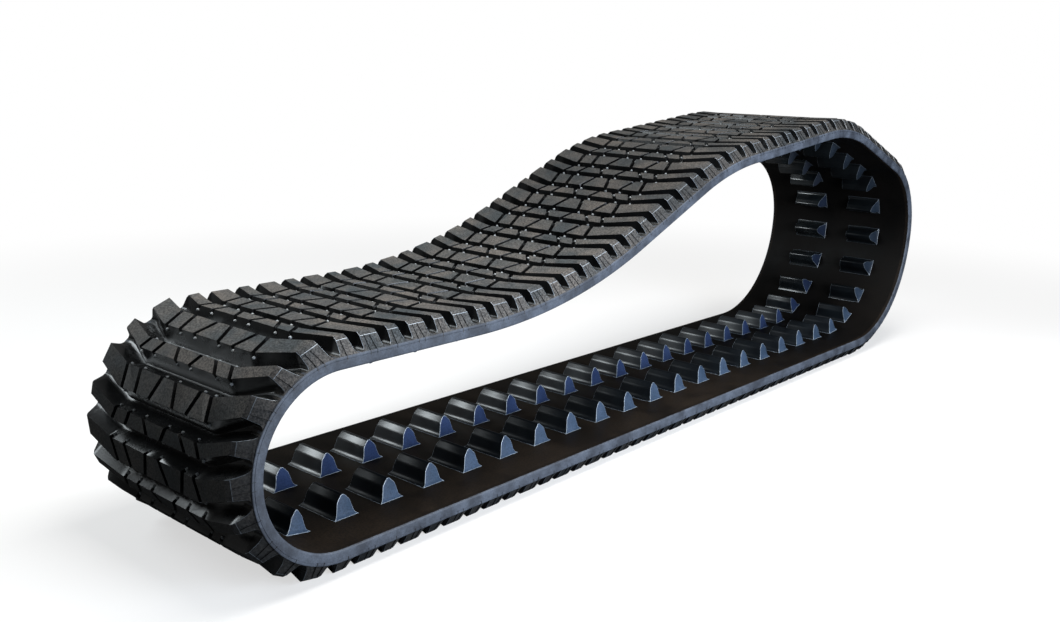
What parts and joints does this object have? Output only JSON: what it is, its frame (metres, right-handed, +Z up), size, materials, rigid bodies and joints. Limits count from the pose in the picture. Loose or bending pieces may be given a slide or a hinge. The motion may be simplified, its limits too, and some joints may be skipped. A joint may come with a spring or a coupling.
{
  "type": "rubber crawler track",
  "caption": "Endless rubber crawler track: a corded belt with two rows of inner drive lugs and an outer block tread of alternate thick and thin raked bars, lying slack on its tread.",
  "frame": {"origin": "on the ground, at the middle of the face of the thick tread bar half way along the ground run", "axes": "+X along the ground towards the tall rear bend, +Y across the belt to the far edge, +Z up"},
  "size_m": [2.4104, 0.4572, 0.6825],
  "materials": {
    "tread_rubber": "moulded natural rubber, sandy matte faces with glossy walls",
    "lug_rubber": "moulded hard rubber, satin with glossy ridges",
    "running_side_rubber": "smooth press-cured rubber, satin",
    "tread_base_rubber": "smooth press-cured rubber, satin",
    "edge_rubber": "smooth moulded rubber with a thin parting line",
    "ply_fabric": "rubberised bias cord fabric",
    "cord_steel": "brass-coated twisted steel cord"
  },
  "bodies": {
    "ground_run": {"inner_cover_ground_run": "running_side_rubber", "outer_cover_ground_run": "tread_base_rubber", "edge_strip_near_ground_run": "edge_rubber", "edge_strip_far_ground_run": "edge_rubber", "drive_lugs_near_ground_run": "lug_rubber", "drive_lugs_far_ground_run": "lug_rubber", "thick_bars_ground_run": "tread_rubber", "thin_bars_ground_run": "tread_rubber", "tension_cords": "cord_steel", "inner_bias_ply": "ply_fabric", "outer_bias_ply": "ply_fabric"},
    "rear_bend": {"inner_cover_rear_bend": "running_side_rubber", "outer_cover_rear_bend": "tread_base_rubber", "edge_strip_near_rear_bend": "edge_rubber", "edge_strip_far_rear_bend": "edge_rubber", "drive_lugs_near_rear_bend": "lug_rubber", "drive_lugs_far_rear_bend": "lug_rubber", "thick_bars_rear_bend": "tread_rubber", "thin_bars_rear_bend": "tread_rubber"},
    "crown_rear": {"inner_cover_crown_rear": "running_side_rubber", "outer_cover_crown_rear": "tread_base_rubber", "edge_strip_near_crown_rear": "edge_rubber", "edge_strip_far_crown_rear": "edge_rubber", "drive_lugs_near_crown_rear": "lug_rubber", "drive_lugs_far_crown_rear": "lug_rubber", "thick_bars_crown_rear": "tread_rubber", "thin_bars_crown_rear": "tread_rubber"},
    "crown_front": {"inner_cover_crown_front": "running_side_rubber", "outer_cover_crown_front": "tread_base_rubber", "edge_strip_near_crown_front": "edge_rubber", "edge_strip_far_crown_front": "edge_rubber", "drive_lugs_near_crown_front": "lug_rubber", "drive_lugs_far_crown_front": "lug_rubber", "thick_bars_crown_front": "tread_rubber", "thin_bars_crown_front": "tread_rubber"},
    "dip": {"inner_cover_dip": "running_side_rubber", "outer_cover_dip": "tread_base_rubber", "edge_strip_near_dip": "edge_rubber", "edge_strip_far_dip": "edge_rubber", "drive_lugs_near_dip": "lug_rubber", "drive_lugs_far_dip": "lug_rubber", "thick_bars_dip": "tread_rubber", "thin_bars_dip": "tread_rubber"},
    "front_bend": {"inner_cover_front_bend": "running_side_rubber", "outer_cover_front_bend": "tread_base_rubber", "edge_strip_near_front_bend": "edge_rubber", "edge_strip_far_front_bend": "edge_rubber", "drive_lugs_near_front_bend": "lug_rubber", "drive_lugs_far_front_bend": "lug_rubber", "thick_bars_front_bend": "tread_rubber", "thin_bars_front_bend": "tread_rubber"}
  },
  "joints": [
    {"name": "shoulder_flex", "type": "hinge", "parent": "rear_bend", "child": "crown_rear", "pos_m": [1.08917, 0, 0.50605], "axis": [0, 1, 0], "range_deg": [-3.6, 3.6], "stiffness_Nm_per_rad": 1500, "springref_deg": 3.9, "deforming": ["tension_cords", "inner_bias_ply", "outer_bias_ply"]},
    {"name": "heel_flex", "type": "hinge", "parent": "ground_run", "child": "rear_bend", "pos_m": [0.94248, 0, 0.04414], "axis": [0, 1, 0], "range_deg": [-1.51, 1.51]},
    {"name": "toe_flex", "type": "hinge", "parent": "ground_run", "child": "front_bend", "pos_m": [-1.04338, 0, 0.04791], "axis": [0, 1, 0], "range_deg": [-0.44, 0.44]},
    {"name": "dip_flex", "type": "hinge", "parent": "front_bend", "child": "dip", "pos_m": [-0.71755, 0, 0.352], "axis": [0, 1, 0], "range_deg": [-1.07, 1.07]},
    {"name": "knee_flex", "type": "hinge", "parent": "dip", "child": "crown_front", "pos_m": [-0.08669, 0, 0.50122], "axis": [0, 1, 0], "range_deg": [-0.87, 0.87]}
  ],
  "couplings": [
    {"joint": "heel_flex", "follows": "shoulder_flex", "ratio": -0.4153},
    {"joint": "toe_flex", "follows": "shoulder_flex", "ratio": -0.1191},
    {"joint": "dip_flex", "follows": "shoulder_flex", "ratio": -0.2934},
    {"joint": "knee_flex", "follows": "shoulder_flex", "ratio": 0.2374}
  ]
}
